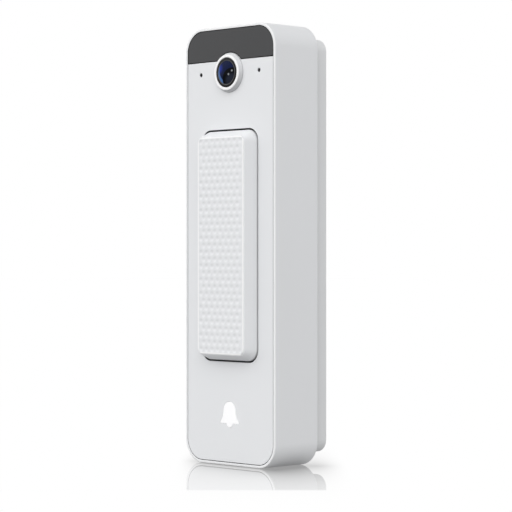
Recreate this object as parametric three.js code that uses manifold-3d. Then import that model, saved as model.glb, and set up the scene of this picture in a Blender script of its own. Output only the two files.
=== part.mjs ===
// A slim wall-mounted video doorbell, in millimetres.
//
// Frame: the wall is the plane y = 0 and the doorbell's front faces -Y. Seen from the front, +X is to the right
// and +Z is up. The origin is the middle of the wall plate's back face.
//
// The unit (everything but the wall plate) hooks onto the plate and slides up off it. Its front panel carries a
// camera, a smoked sensor window and one tall push button.
import * as THREE from "three";
import { mergeVertices } from "three/addons/utils/BufferGeometryUtils.js";
import Module from "manifold-3d";

const wasm = await Module();
wasm.setup();

// ---------------------------------------------------------------- driving dimensions

const bodyWidth = 43;
const bodyHeight = 145;
const bodyDepth = 19.8;
const bodyCorner = 8; // radius of the front view's corners
const plateDepth = 7.8; // how far the wall plate holds the unit's back off the wall
const plateInset = 3.8; // the wall plate is this much smaller than the body on every side

const rimWidth = 0.92; // the housing's edge around the front panel
const wall = 1.8; // housing wall
const plateWall = 2;
const fit = 0.1; // between pieces that are fixed together
const clearance = 0.3; // between pieces that move past each other

const panelThickness = 1.8;
const coverThickness = 2;
const sealThickness = 0.5;
const boardThickness = 1;

const windowBottom = 61.2; // height of the smoked window's lower edge
const windowThickness = 1;
const lensHeight = 57; // height of the camera's axis
const bezelBaseRadius = 6.55;
const bezelFrontRadius = 5.75;
const bezelProud = 1.5;
const microphoneOffset = 13.9;
const soundHoleRadius = 0.65;
const iconHeight = -55.4;
const iconScale = 1.12;

const openingWidth = 27.1; // the button's opening in the front panel
const openingHeight = 76.7;
const openingCorner = 4.35;
const buttonGap = 0.55; // between the opening's edge and the button's base
const buttonDraft = 1.9; // how much each side leans in from base to face
const buttonProud = 4.2;
const buttonTravel = 0.7;
const switchOffset = 22; // the two switches sit this far above and below the button's middle

const hookOffset = 40; // height of the wall plate's two hook bars
const filterTravel = 5.6; // the infrared filter's sideways travel
const resetTravel = 0.4;

// ---------------------------------------------------------------- depth stations along Y, from wall to front

const unitBack = -plateDepth;
const unitFront = unitBack - bodyDepth;
const panelBack = unitFront + panelThickness;
const coverFront = unitBack - coverThickness;
const sealFront = coverFront - sealThickness;
const mainBoardBack = coverFront - 3.2;
const mainBoardFront = mainBoardBack - 1.2;
const cameraBoardBack = mainBoardFront - 1.8;
const cameraBoardFront = cameraBoardBack - boardThickness;
const buttonBoardBack = mainBoardFront - 5.2;
const buttonBoardFront = buttonBoardBack - boardThickness;
const buttonFront = unitFront - buttonProud;

// A quarter of an arc gets twice this many facets.
const cornerSegments = 4;
const smallSegments = 2;
const iconSegments = 4;
const roundSides = 28; // facets around the camera's outer rings
const innerSides = 20; // facets around the rings and lenses inside them
const pinSides = 12; // facets around screws, posts and small holes

// ---------------------------------------------------------------- materials

function material(color, roughness, metalness = 0) {
  return new THREE.MeshStandardMaterial({ color, roughness, metalness });
}

const whitePlastic = material(0xe2e2e4, 0.45);
const platePlastic = material(0xc6c8c8, 0.55);
const innerPlastic = material(0x55585c, 0.6);
const blackPlastic = material(0x151517, 0.5);
const smokedPlastic = material(0x3a3a3c, 0.12);
const clearPlastic = material(0xf8f8f8, 0.2);
const lensGlass = material(0x16224a, 0.03);
const filterGlass = material(0x9fc7c9, 0.05);
const rubber = material(0x2b2b2d, 0.85);
const circuitBoard = material(0x1f5a3a, 0.5);
const chipResin = material(0x1c1d20, 0.45);
const silicon = material(0x5a4f7a, 0.2, 0.4);
const steel = material(0xb9bcc0, 0.3, 1);
const brass = material(0xc9a557, 0.3, 1);
const copperFilm = material(0xb87a4a, 0.4, 0.8);
const aluminium = material(0xc3c6c9, 0.4, 1);
const paper = material(0x3a3530, 0.9);

// ---------------------------------------------------------------- solids

// A closed geometry as a solid, with shared vertices merged and collapsed triangles dropped.
function toSolid(geometry) {
  const bare = geometry.clone();
  bare.deleteAttribute("normal");
  bare.deleteAttribute("uv");
  const merged = mergeVertices(bare, 1e-4);
  const indices = Array.from(merged.index.array);
  const kept = [];
  for (let i = 0; i < indices.length; i += 3) {
    const [a, b, c] = indices.slice(i, i + 3);
    if (a !== b && b !== c && c !== a) kept.push(a, b, c);
  }
  return new wasm.Manifold(
    new wasm.Mesh({
      numProp: 3,
      vertProperties: merged.attributes.position.array,
      triVerts: new Uint32Array(kept),
    }),
  );
}

function toGeometry(solid) {
  const mesh = solid.getMesh();
  const geometry = new THREE.BufferGeometry();
  geometry.setAttribute("position", new THREE.BufferAttribute(mesh.vertProperties, 3));
  geometry.setIndex(new THREE.BufferAttribute(mesh.triVerts, 1));
  geometry.computeVertexNormals();
  return geometry;
}

function join(first, ...others) {
  return others.reduce((whole, other) => whole.add(other), first);
}

function cut(first, ...tools) {
  return tools.reduce((whole, tool) => whole.subtract(tool), first);
}

function piece(group, name, solid, look) {
  const mesh = new THREE.Mesh(toGeometry(solid), look);
  mesh.name = name;
  group.add(mesh);
}

// Outlines are drawn in the front view: x to the right, z up.
function roundedRectangle(width, height, radius, x = 0, z = 0) {
  const right = width / 2 - radius;
  const top = height / 2 - radius;
  const quarter = Math.PI / 2;
  const shape = new THREE.Shape();
  shape.absarc(x + right, z + top, radius, 0, quarter);
  shape.absarc(x - right, z + top, radius, quarter, 2 * quarter);
  shape.absarc(x - right, z - top, radius, 2 * quarter, 3 * quarter);
  shape.absarc(x + right, z - top, radius, 3 * quarter, 4 * quarter);
  shape.closePath();
  return shape;
}

// A plain bell: a dome that flares into a lip, with half of the clapper showing under it.
function bellOutline(scale) {
  const dome = 2.6 * scale;
  const domeHeight = 0.9 * scale;
  const lip = 3.9 * scale;
  const lipTop = -2.3 * scale;
  const lipBottom = -2.9 * scale;
  const clapper = 1.2 * scale;
  const shape = new THREE.Shape();
  shape.moveTo(clapper, iconHeight + lipBottom);
  shape.lineTo(lip, iconHeight + lipBottom);
  shape.lineTo(lip, iconHeight + lipTop);
  shape.quadraticCurveTo(dome, iconHeight - 1.4 * scale, dome, iconHeight + domeHeight);
  shape.absarc(0, iconHeight + domeHeight, dome, 0, Math.PI);
  shape.quadraticCurveTo(-dome, iconHeight - 1.4 * scale, -lip, iconHeight + lipTop);
  shape.lineTo(-lip, iconHeight + lipBottom);
  shape.lineTo(-clapper, iconHeight + lipBottom);
  shape.absarc(0, iconHeight + lipBottom, clapper, Math.PI, 2 * Math.PI);
  shape.closePath();
  return shape;
}

// A front-view outline with thickness, from y = front to y = back.
function slab(shape, front, back, curveSegments = cornerSegments) {
  const geometry = new THREE.ExtrudeGeometry(shape, {
    depth: back - front,
    bevelEnabled: false,
    curveSegments,
  });
  geometry.rotateX(Math.PI / 2);
  geometry.translate(0, back, 0);
  return toSolid(geometry);
}

function box([left, right], [front, back], [bottom, top]) {
  const geometry = new THREE.BoxGeometry(right - left, back - front, top - bottom);
  geometry.translate((left + right) / 2, (front + back) / 2, (bottom + top) / 2);
  return toSolid(geometry);
}

// A span of the given size around a middle, for box().
function around(middle, size) {
  return [middle - size / 2, middle + size / 2];
}

// A round bar that points to the front.
function rod(radius, [front, back], x, z, sides = pinSides) {
  const geometry = new THREE.CylinderGeometry(radius, radius, back - front, sides);
  geometry.translate(x, (front + back) / 2, z);
  return toSolid(geometry);
}

// A round bar that points up.
function post(radius, [bottom, top], x, y, sides = pinSides) {
  const geometry = new THREE.CylinderGeometry(radius, radius, top - bottom, sides);
  geometry.rotateX(Math.PI / 2);
  geometry.translate(x, y, (bottom + top) / 2);
  return toSolid(geometry);
}

// A turned piece on the camera's axis. Its profile is a list of [radius, y] that goes out along the back,
// forward along the outside and in along the front, and ends where it starts or on the axis.
function turned(profile, sides = roundSides) {
  const points = profile.map(([radius, y]) => new THREE.Vector2(radius, y)).reverse();
  const geometry = new THREE.LatheGeometry(points, sides);
  geometry.translate(0, 0, lensHeight);
  return toSolid(geometry);
}

// A block that leans in evenly from its outline at the back to its outline at the front.
function tapered(backShape, back, frontShape, front, curveSegments = cornerSegments) {
  const backPoints = backShape.extractPoints(curveSegments).shape.slice(0, -1);
  const frontPoints = frontShape.extractPoints(curveSegments).shape.slice(0, -1);
  const count = backPoints.length;
  const positions = [];
  frontPoints.forEach((point) => positions.push(point.x, front, point.y));
  backPoints.forEach((point) => positions.push(point.x, back, point.y));
  const indices = [];
  for (let i = 0; i < count; i += 1) {
    const next = (i + 1) % count;
    indices.push(i, count + i, count + next);
    indices.push(i, count + next, next);
  }
  THREE.ShapeUtils.triangulateShape(frontPoints, []).forEach(([a, b, c]) => {
    indices.push(a, b, c);
    indices.push(count + c, count + b, count + a);
  });
  const geometry = new THREE.BufferGeometry();
  geometry.setAttribute("position", new THREE.Float32BufferAttribute(positions, 3));
  geometry.setIndex(indices);
  return toSolid(geometry);
}

// ---------------------------------------------------------------- housing and front panel

const innerWidth = bodyWidth - 2 * wall;
const innerHeight = bodyHeight - 2 * wall;
const rebateWidth = bodyWidth - 2 * rimWidth;
const rebateHeight = bodyHeight - 2 * rimWidth;
const panelWidth = rebateWidth - 2 * fit;
const panelHeight = rebateHeight - 2 * fit;
const panelCorner = bodyCorner - rimWidth - fit;

// The four posts that take the rear cover's screws stand in the cavity's corners and run into its walls.
const bossX = bodyWidth / 2 - 5.2;
const bossZ = bodyHeight / 2 - 5.2;
const bossRadius = 3.2;
const bossFront = coverFront - 6.2;
const coverCorners = [
  ["upper_left", -bossX, bossZ],
  ["upper_right", bossX, bossZ],
  ["lower_left", -bossX, -bossZ],
  ["lower_right", bossX, -bossZ],
];
const coverScrewRadius = 1.1;

const speakerWidth = 25;
const speakerMiddleY = unitFront + 9.6;
const slotCount = 6;
const slotPitch = 3;
const slotWidth = 1.4;
const slotDepth = 7;

function panelOutline() {
  return roundedRectangle(panelWidth, panelHeight, panelCorner);
}

function housing() {
  const over = 1;
  const shell = cut(
    slab(roundedRectangle(bodyWidth, bodyHeight, bodyCorner), unitFront, unitBack),
    slab(roundedRectangle(innerWidth, innerHeight, bodyCorner - wall), unitFront - over, unitBack + over),
    slab(roundedRectangle(rebateWidth, rebateHeight, bodyCorner - rimWidth), unitFront - over, panelBack),
    slab(roundedRectangle(rebateWidth, rebateHeight, bodyCorner - rimWidth), sealFront, unitBack + over),
  );
  const inside = slab(
    roundedRectangle(innerWidth + wall, innerHeight + wall, bodyCorner - wall / 2),
    bossFront,
    sealFront,
  );
  const bosses = coverCorners.map(([, x, z]) => rod(bossRadius, [bossFront, sealFront], x, z));
  const bores = coverCorners.map(([, x, z]) => rod(coverScrewRadius + fit, [bossFront - over, 0], x, z));
  const slots = [];
  for (let i = 0; i < slotCount; i += 1) {
    const x = (i - (slotCount - 1) / 2) * slotPitch;
    const bottom = -bodyHeight / 2;
    const through = [bottom - over, bottom + wall + over];
    slots.push(box(around(x, slotWidth), around(speakerMiddleY, slotDepth), through));
  }
  return cut(join(shell, ...bosses.map((boss) => boss.intersect(inside))), ...bores, ...slots);
}

const windowRecess = windowThickness + fit;
const windowArc = bezelBaseRadius + 0.2; // the window's round cut-out clears the bezel
const irLampOffset = 9;
const sensorHeight = (windowBottom + panelHeight / 2) / 2 + 0.6;
const lightSensorHeight = sensorHeight + 0.6;
const lampPocket = 4.4; // the sides of the square hole each infrared lamp looks through
const iconPlay = 1.03; // the pictogram's hole is this much larger than the pictogram

function windowRegion(extra) {
  const tall = box([-bodyWidth, bodyWidth], [unitFront - 1, panelBack + 1], [windowBottom - extra, bodyHeight]);
  return cut(tall, rod(windowArc - extra, [unitFront - 2, panelBack + 2], 0, lensHeight, roundSides));
}

function frontPanel() {
  const over = 1;
  const through = [unitFront - over, panelBack + over];
  const recess = windowRegion(fit).intersect(
    box([-bodyWidth, bodyWidth], [unitFront - over, unitFront + windowRecess], [0, bodyHeight]),
  );
  return cut(
    slab(panelOutline(), unitFront, panelBack),
    slab(roundedRectangle(openingWidth, openingHeight, openingCorner), ...through),
    slab(bellOutline(iconScale * iconPlay), ...through, iconSegments),
    rod(bezelBaseRadius - 1, through, 0, lensHeight, roundSides),
    rod(soundHoleRadius, through, -microphoneOffset, lensHeight),
    rod(soundHoleRadius, through, microphoneOffset, lensHeight),
    recess,
    box(around(-irLampOffset, lampPocket), through, around(sensorHeight, lampPocket)),
    box(around(irLampOffset, lampPocket), through, around(sensorHeight, lampPocket)),
    rod(1.4, through, 0, lightSensorHeight),
  );
}

function smokedWindow() {
  return slab(panelOutline(), unitFront, unitFront + windowThickness).intersect(windowRegion(0));
}

// The lit pictogram, with a square stem that carries light from a lamp on the main board.
function bellIcon() {
  return join(
    slab(bellOutline(iconScale), unitFront, panelBack, iconSegments),
    box(around(0, 4.6), [panelBack - 0.6, mainBoardFront - 1.2], around(iconHeight, 4.6)),
  );
}

// ---------------------------------------------------------------- camera

const bezelFront = unitFront - bezelProud;
const baffleRadius = 4.95;
const glassRadius = 3.85;
const trimWidth = 0.3; // the thin ring between the baffle and the glass
const domeRise = 0.6; // the glass is domed, and its middle stands this far proud of the ring
const barrelRadius = 4.4;
const barrelBack = cameraBoardFront - 2.4;
const holderFront = cameraBoardFront - 5.6;
const filterFront = cameraBoardFront - 1.9;
const filterThickness = 0.6;
const filterSize = 5;
const filterPaneHeight = filterSize + 1;

function lensBezel() {
  const collar = bezelBaseRadius - 1 - fit;
  return turned([
    [baffleRadius, panelBack + 0.8],
    [collar, panelBack + 0.8],
    [collar, unitFront],
    [bezelBaseRadius, unitFront],
    [bezelBaseRadius, unitFront - 0.15],
    [bezelFrontRadius + 0.12, bezelFront + 0.12],
    [bezelFrontRadius - 0.12, bezelFront],
    [baffleRadius + 0.12, bezelFront],
    [baffleRadius, bezelFront + 0.12],
    [baffleRadius, panelBack + 0.8],
  ]);
}

function lensBaffle() {
  const outer = baffleRadius - fit;
  const inner = glassRadius + trimWidth + fit / 2;
  const back = panelBack + 0.8;
  const step = bezelFront + 2.2;
  return turned([
    [barrelRadius + fit, back],
    [outer, back],
    [outer, bezelFront + 0.12],
    [inner, bezelFront],
    [inner, step],
    [barrelRadius + fit, step],
    [barrelRadius + fit, back],
  ], innerSides);
}

function lensTrimRing() {
  const outer = glassRadius + trimWidth;
  const back = bezelFront + 1.5;
  return turned([
    [glassRadius, back],
    [outer, back],
    [outer, bezelFront],
    [glassRadius, bezelFront + 0.05],
    [glassRadius, back],
  ], innerSides);
}

// A spherical surface listed from its edge, at the given radius, in to the axis.
function domeProfile(radius, peak, edge, steps) {
  const rise = edge - peak;
  const curvature = (radius * radius + rise * rise) / (2 * rise);
  const profile = [];
  for (let i = steps; i >= 0; i -= 1) {
    const r = (radius * i) / steps;
    profile.push([r, peak + curvature - Math.sqrt(curvature * curvature - r * r)]);
  }
  return profile;
}

function frontLens() {
  const radius = glassRadius - 0.05;
  const back = bezelFront + 1.9;
  const dome = domeProfile(radius, bezelFront - domeRise, bezelFront + 0.05, 4);
  return turned([[0, back], [radius, back], ...dome], innerSides);
}

function lensBarrel() {
  const front = bezelFront + 2.3;
  const bore = barrelRadius - 0.9;
  return turned([
    [bore, barrelBack],
    [barrelRadius, barrelBack],
    [barrelRadius, front],
    [bore, front],
    [bore, barrelBack],
  ], innerSides);
}

function rearLens() {
  const radius = barrelRadius - 1;
  const front = barrelBack - 2.6;
  const back = front + 1.8;
  return turned([[0, back], [radius, back], ...domeProfile(radius, front, front + 0.8, 3)], innerSides);
}

function lensHolder() {
  const width = 2 * filterTravel + filterPaneHeight + 2 * clearance + 2.2;
  const slotHeight = filterPaneHeight + 2 * clearance;
  const slotFront = filterFront - clearance;
  const filterBack = filterFront + filterThickness;
  const block = join(
    box(around(0, width), [cameraBoardFront - 3.4, cameraBoardFront], around(lensHeight, 11)),
    box(around(0, 11), [holderFront, cameraBoardFront - 3.4], around(lensHeight, 11)),
  );
  return cut(
    block,
    rod(barrelRadius + fit, [holderFront - 1, barrelBack + fit], 0, lensHeight, 24),
    box(around(0, width - 2), [slotFront, filterBack + clearance], around(lensHeight, slotHeight)),
    box(around(0, 6.5), [filterFront, cameraBoardFront + 1], around(lensHeight, 6.5)),
    box(around(0, filterSize), [barrelBack - 1, filterFront], around(lensHeight, filterSize)),
    box([width / 2 - 2, width / 2 + 1], [slotFront + 0.4, filterBack], around(lensHeight, 3)),
  );
}

// The filter frame sits at its day place: the glass is on the axis, and the open pane is beside it.
function filterFrame() {
  const back = filterFront + filterThickness;
  const left = -filterTravel - filterSize / 2 - 0.5;
  const right = filterSize / 2 + 0.5;
  const through = [filterFront - 1, back + 1];
  const panes = [0, -filterTravel].map((x) =>
    box(around(x, filterSize - 0.4), through, around(lensHeight, filterSize - 0.4)),
  );
  return cut(box([left, right], [filterFront, back], around(lensHeight, filterPaneHeight)), ...panes);
}

function filterPane() {
  const size = filterSize - 0.5;
  return box(around(0, size), [filterFront + 0.1, filterFront + 0.5], around(lensHeight, size));
}

function addCamera(unit, filterBody) {
  const boardTop = bodyHeight / 2 - 3.5;
  const boardBottom = boardTop - 25;
  piece(unit, "lens_bezel", lensBezel(), whitePlastic);
  piece(unit, "lens_baffle", lensBaffle(), blackPlastic);
  piece(unit, "lens_trim_ring", lensTrimRing(), aluminium);
  piece(unit, "front_lens", frontLens(), lensGlass);
  piece(unit, "lens_barrel", lensBarrel(), blackPlastic);
  piece(unit, "rear_lens", rearLens(), lensGlass);
  piece(unit, "lens_holder", lensHolder(), blackPlastic);
  piece(filterBody, "ir_filter_frame", filterFrame(), blackPlastic);
  piece(filterBody, "ir_filter_glass", filterPane(), filterGlass);
  const sensorFront = cameraBoardFront - 0.9;
  const sensor = box(around(0, 6), [sensorFront, cameraBoardFront - 0.02], around(lensHeight, 5));
  piece(unit, "image_sensor", sensor, silicon);
  const board = box(around(0, 34), [cameraBoardFront, cameraBoardBack], [boardBottom, boardTop]);
  piece(unit, "camera_board", board, circuitBoard);
}

// ---------------------------------------------------------------- sensors behind the smoked window

function addSensors(unit) {
  const boardFront = panelBack + 1;
  const boardBack = boardFront + 0.8;
  const board = box(around(0, 32), [boardFront, boardBack], around(sensorHeight, 5.6));
  piece(unit, "sensor_board", board, circuitBoard);
  for (const [side, x] of [["left", -irLampOffset], ["right", irLampOffset]]) {
    const lamp = join(
      box(around(x, 3.5), [boardFront - 0.7, boardFront], around(sensorHeight, 3.5)),
      rod(1.4, [boardFront - 1.3, boardFront - 0.6], x, sensorHeight),
    );
    piece(unit, `ir_lamp_${side}`, lamp, clearPlastic);
  }
  const sensor = box(around(0, 2), [boardFront - 0.8, boardFront], around(lightSensorHeight, 2));
  piece(unit, "light_sensor", sensor, chipResin);

  const microphoneFront = cameraBoardFront - 1.1;
  for (const [side, x] of [["left", -microphoneOffset], ["right", microphoneOffset]]) {
    const microphone = box(around(x, 3), [microphoneFront, cameraBoardFront], around(lensHeight, 3.6));
    piece(unit, `microphone_${side}`, microphone, steel);
    const boot = cut(
      rod(2.2, [panelBack, microphoneFront], x, lensHeight),
      rod(soundHoleRadius + fit, [panelBack - 1, microphoneFront + 1], x, lensHeight, 8),
    );
    piece(unit, `microphone_boot_${side}`, boot, rubber);
  }
}

// ---------------------------------------------------------------- push button and its switches

const buttonWidth = openingWidth - 2 * buttonGap;
const buttonHeight = openingHeight - 2 * buttonGap;
const buttonCorner = openingCorner - buttonGap;
const faceWidth = buttonWidth - 2 * buttonDraft;
const faceHeight = buttonHeight - 2 * buttonDraft;
const faceCorner = buttonCorner - 1.5;
const faceRim = 0.75; // the smooth edge around the textured field
const fieldDepth = 0.3;
const buttonWall = 1.5;
const flangeFront = panelBack + 0.05;
const flangeBack = flangeFront + 1.2;
const flangeLip = 1.3; // how far the flange behind the panel stands out past the button's base
const frameMargin = 2.2; // how far the button's frame stands out past the flange
const frameWall = 1.8;
const plungerFront = flangeBack + 0.25;
const switchFront = buttonBoardFront - 2.9;

function buttonCap() {
  const outer = join(
    tapered(
      roundedRectangle(buttonWidth, buttonHeight, buttonCorner),
      unitFront,
      roundedRectangle(faceWidth, faceHeight, faceCorner),
      buttonFront,
    ),
    slab(roundedRectangle(buttonWidth, buttonHeight, buttonCorner), unitFront, flangeFront + fit),
    slab(
      roundedRectangle(buttonWidth + 2 * flangeLip, buttonHeight + 2 * flangeLip, buttonCorner + flangeLip),
      flangeFront,
      flangeBack,
    ),
  );
  const field = slab(
    roundedRectangle(faceWidth - 2 * faceRim, faceHeight - 2 * faceRim, faceCorner - faceRim),
    buttonFront - 1,
    buttonFront + fieldDepth,
  );
  const hollow = slab(
    roundedRectangle(faceWidth - 2 * buttonWall, faceHeight - 2 * buttonWall, faceCorner - 1),
    buttonFront + buttonWall,
    flangeBack + 1,
  );
  const actuators = [switchOffset, -switchOffset].map((z) =>
    rod(2.2, [buttonFront + buttonWall - fit, plungerFront - 0.02], 0, z),
  );
  return join(cut(outer, field, hollow), ...actuators);
}

function switchBody(z) {
  return cut(
    box(around(0, 6), [switchFront, buttonBoardFront], around(z, 6)),
    rod(1.75, [switchFront - 1, switchFront + 2.2], 0, z),
  );
}

function switchPlunger(z) {
  return rod(1.5, [plungerFront, switchFront + 2.2 - buttonTravel - 0.15], 0, z);
}

function addButton(unit, button, plungers) {
  const frameWidth = buttonWidth + 2 * (flangeLip + frameMargin);
  const frameHeight = buttonHeight + 2 * (flangeLip + frameMargin);
  const boreWidth = frameWidth - 2 * frameWall;
  const boreHeight = frameHeight - 2 * frameWall;
  const innerFrame = roundedRectangle(boreWidth, boreHeight, openingCorner + 1);
  const outerFrame = roundedRectangle(frameWidth, frameHeight, openingCorner + 2);
  const gasketBack = panelBack + 0.8;
  piece(button, "button_cap", buttonCap(), whitePlastic);
  const gasket = cut(slab(outerFrame, panelBack, gasketBack, smallSegments),
    slab(innerFrame, panelBack - 1, gasketBack + 1, smallSegments));
  piece(unit, "button_gasket", gasket, rubber);
  const frame = cut(slab(outerFrame, gasketBack, buttonBoardFront, smallSegments),
    slab(innerFrame, gasketBack - 1, buttonBoardFront + 1, smallSegments));
  piece(unit, "button_frame", frame, innerPlastic);
  piece(unit, "button_board", slab(outerFrame, buttonBoardFront, buttonBoardBack, smallSegments), circuitBoard);
  for (const [place, z] of [["upper", switchOffset], ["lower", -switchOffset]]) {
    piece(unit, `switch_body_${place}`, switchBody(z), blackPlastic);
    piece(plungers[place], `switch_plunger_${place}`, switchPlunger(z), clearPlastic);
  }
}

// ---------------------------------------------------------------- main board, power and radio

function addElectronics(unit) {
  const boardTop = 41;
  const board = box(around(0, 36), [mainBoardFront, mainBoardBack], [-60, boardTop]);
  piece(unit, "main_board", board, circuitBoard);

  const shieldMiddle = 24;
  const canDepth = 2.2;
  const chip = box(around(0, 12), [mainBoardFront - 1, mainBoardFront], around(shieldMiddle, 12));
  piece(unit, "processor_chip", chip, chipResin);
  const can = cut(
    box(around(0, 22), [mainBoardFront - canDepth, mainBoardFront], around(shieldMiddle, 18)),
    box(around(0, 21.4), [mainBoardFront - canDepth + 0.3, mainBoardFront + 1], around(shieldMiddle, 17.4)),
  );
  piece(unit, "shield_can", can, steel);

  const coil = roundedRectangle(8, 8, 1.5, -9, -16);
  const inductor = slab(coil, mainBoardFront - 4.2, mainBoardFront, smallSegments);
  piece(unit, "power_inductor", inductor, chipResin);
  const capacitor = join(
    box(around(8, 6.6), [mainBoardFront - 0.5, mainBoardFront], around(-16, 6.6)),
    rod(3.15, [mainBoardFront - 4.9, mainBoardFront - 0.5], 8, -16, 16),
  );
  piece(unit, "bulk_capacitor", capacitor, aluminium);
  const connector = box(around(0, 14), [buttonBoardBack, mainBoardFront], around(-33, 4));
  piece(unit, "board_connector", connector, blackPlastic);

  // A flat film that plugs into the back of the camera board and the front of the main board.
  const flexThickness = 0.25;
  const flexFront = cameraBoardBack + 0.8;
  const flex = join(
    box(around(0, 10), [flexFront, flexFront + flexThickness], [34.5, 51]),
    box(around(0, 11), [cameraBoardBack, flexFront + 0.05], [48, 51]),
    box(around(0, 11), [flexFront + flexThickness - 0.05, mainBoardFront], [34.5, 37.5]),
  );
  piece(unit, "camera_flex", flex, copperFilm);

  const spreader = join(
    box(around(0, 30), [mainBoardBack + 1, mainBoardBack + 2], around(shieldMiddle, 28)),
    box(around(0, 14), [mainBoardBack, mainBoardBack + 1.1], around(shieldMiddle, 14)),
  );
  piece(unit, "heat_spreader", spreader, aluminium);
  const antenna = box([-innerWidth / 2, -innerWidth / 2 + 0.3], [unitFront + 6, unitFront + 14], [2, 38]);
  piece(unit, "antenna", antenna, copperFilm);
}

// ---------------------------------------------------------------- loudspeaker, facing down through the slots

function addSpeaker(unit, coneBody) {
  const floor = -bodyHeight / 2 + wall;
  const gasketTop = floor + 0.7;
  const frameTop = gasketTop + 7.4;
  const depth = 13;
  const width = speakerWidth;
  const y = speakerMiddleY;
  const rim = 1.4;
  const gasket = cut(
    box(around(0, width), around(y, depth), [floor, gasketTop]),
    box(around(0, width - 2 * rim), around(y, depth - 2 * rim), [floor - 1, gasketTop + 1]),
  );
  piece(unit, "speaker_gasket", gasket, paper);

  const magnetRadius = 4.6;
  const coneTop = gasketTop + 2.6;
  const frame = cut(
    box(around(0, width), around(y, depth), [gasketTop, frameTop]),
    box(around(0, width - 2 * rim), around(y, depth - 2 * rim), [gasketTop - 1, frameTop - 1.6]),
    post(magnetRadius + fit, [frameTop - 2, frameTop + 1], 0, y, 20),
  );
  piece(unit, "speaker_frame", frame, innerPlastic);
  const magnet = cut(
    post(magnetRadius, [coneTop + 0.9, frameTop], 0, y, 20),
    cut(post(3.1, [coneTop, frameTop - 0.8], 0, y, 16), post(2, [coneTop - 1, frameTop], 0, y, 16)),
  );
  piece(unit, "speaker_magnet", magnet, steel);

  const coneWidth = width - 2 * rim - 2 * clearance;
  const coneDepth = depth - 2 * rim - 2 * clearance;
  const outline = new THREE.Shape();
  outline.absellipse(0, 0, coneWidth / 2, coneDepth / 2, 0, 2 * Math.PI);
  const disc = new THREE.ExtrudeGeometry(outline, { depth: 0.6, bevelEnabled: false, curveSegments: 20 });
  disc.translate(0, y, gasketTop + 1);
  const coil = cut(
    post(2.8, [gasketTop + 1.5, coneTop + 2], 0, y, 16),
    post(2.3, [gasketTop + 1.7, coneTop + 3], 0, y, 16),
  );
  piece(coneBody, "speaker_cone", join(toSolid(disc), coil), paper);
}

// ---------------------------------------------------------------- rear cover, terminals and reset button

const hookWidth = 14;
const barHeight = 4;
const barFront = -5.8;
const barBack = -4.2;
const trayFloor = -plateWall; // the wall plate's front-facing floor
const screwLineY = -4.4; // the security screw's axis
const lugMiddle = -bodyHeight / 2 + 9;
const terminalHeight = -2.5;
const terminalOffset = 5.5;
const terminalBack = unitBack + 2.2;
const resetX = -13;
const resetZ = -14;

function hook(middle) {
  const barTop = middle + barHeight / 2;
  const toeFront = barBack + 0.2;
  const toeBack = trayFloor - 0.4;
  return join(
    box(around(0, hookWidth), [unitBack - 0.2, toeBack], [barTop + 0.02, barTop + 4]),
    box(around(0, hookWidth), [toeFront, toeBack], [barTop - 4.5, barTop + 4]),
  );
}

function rearCover() {
  const through = [coverFront - 1, unitBack + 1];
  const lug = box(around(0, 8), [unitBack - 0.2, trayFloor - 0.3], around(lugMiddle, 4));
  const pockets = coverCorners.map(([, x, z]) => rod(2.5, [unitBack - 1.2, unitBack + 1], x, z, 16));
  const holes = coverCorners.map(([, x, z]) => rod(coverScrewRadius + fit, through, x, z));
  return cut(
    join(slab(panelOutline(), coverFront, unitBack), hook(hookOffset), hook(-hookOffset), lug),
    post(1.45, around(lugMiddle, 6), 0, screwLineY),
    box(around(0, 22.4), through, around(terminalHeight, 10.4)),
    rod(1.6, through, resetX, resetZ),
    ...pockets,
    ...holes,
  );
}

function coverSeal() {
  const inner = roundedRectangle(innerWidth, innerHeight, bodyCorner - wall);
  const over = 1;
  return cut(slab(panelOutline(), sealFront, coverFront), slab(inner, sealFront - over, coverFront + over));
}

// A screw along Y with its head towards the wall and a straight slot across the head.
function coverScrew(x, z) {
  const headBack = unitBack - 0.1;
  return cut(
    join(
      rod(2.3, [headBack - 1, headBack], x, z, 16),
      rod(coverScrewRadius, [coverFront - 5, headBack - 0.9], x, z),
    ),
    box(around(x, 0.5), [headBack - 0.5, headBack + 1], around(z, 2.6)),
    box(around(x, 2.6), [headBack - 0.5, headBack + 1], around(z, 0.5)),
  );
}

function terminalBlock() {
  const bores = [-terminalOffset, terminalOffset].map((x) =>
    rod(1.7, [mainBoardBack + 0.6, terminalBack + 1], x, terminalHeight),
  );
  const wireWays = [-terminalOffset, terminalOffset].map((x) =>
    box(around(x, 5), [terminalBack - 1.6, terminalBack - 0.6], [terminalHeight - 6, terminalHeight + 3]),
  );
  return cut(
    box(around(0, 22), [mainBoardBack, terminalBack], around(terminalHeight, 10)),
    ...bores,
    ...wireWays,
  );
}

function terminalScrew(x) {
  const headFront = terminalBack + 0.2;
  const headBack = headFront + 1.3;
  return cut(
    join(
      rod(2.7, [headFront, headBack], x, terminalHeight, 20),
      rod(1.4, [mainBoardBack + 1, headFront + 0.1], x, terminalHeight),
    ),
    box(around(x, 0.7), [headBack - 0.7, headBack + 1], around(terminalHeight, 6)),
  );
}

function resetCap() {
  const back = unitBack - 0.3;
  return join(
    rod(1.3, [coverFront - 0.5, back], resetX, resetZ),
    rod(2, [coverFront - 1, coverFront - 0.3], resetX, resetZ),
  );
}

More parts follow.
